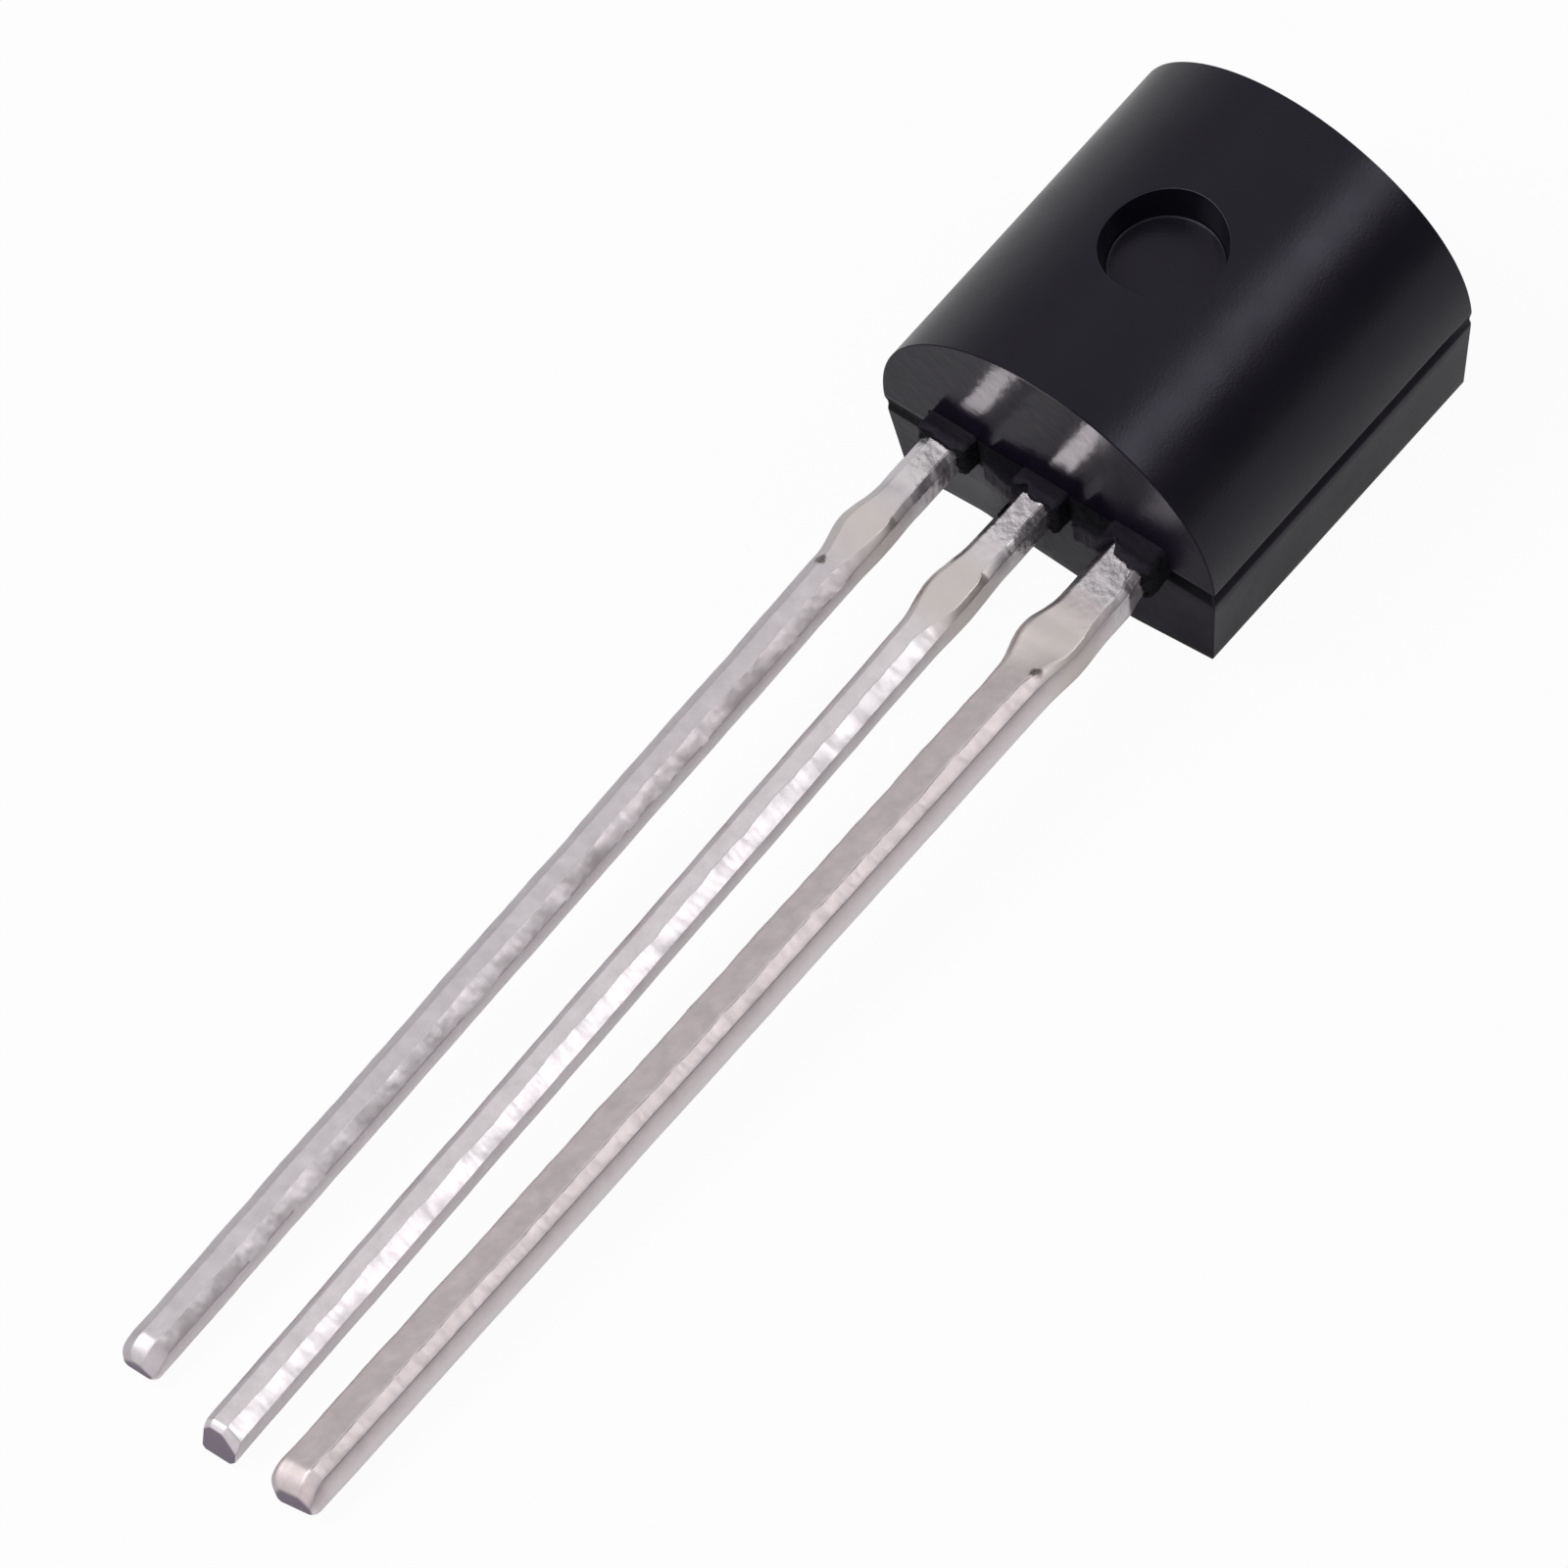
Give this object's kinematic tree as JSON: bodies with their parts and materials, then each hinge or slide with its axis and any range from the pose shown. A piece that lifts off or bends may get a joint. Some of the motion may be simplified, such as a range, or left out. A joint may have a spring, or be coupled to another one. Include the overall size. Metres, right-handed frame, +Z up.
{
  "type": "through-hole transistor",
  "caption": "Small-signal transistor in a black half-round moulded package with long tinned leads, lying as it comes to rest.",
  "frame": {"origin": "on the floor under the middle of the overall box", "axes": "+X along the leads towards the body, +Z up, so the rounded back faces up"},
  "size_m": [0.019, 0.0046, 0.0037],
  "materials": {
    "moulding_compound": "satin charcoal epoxy moulding compound",
    "tinned_lead_1": "uneven matte tin plating",
    "tinned_lead_2": "tin plating with a bright drawn band",
    "tinned_lead_3": "tin plating with a quilted grain",
    "die_bond": "silver-filled bonding layer",
    "silicon": "polished silicon",
    "bond_wire": "drawn gold"
  },
  "bodies": {
    "root": {"moulded_body": "moulding_compound", "lead_1": "tinned_lead_1", "lead_2": "tinned_lead_2", "lead_3": "tinned_lead_3", "die_bond": "die_bond", "die": "silicon", "wire_1": "bond_wire", "wire_3": "bond_wire"}
  },
  "joints": []
}
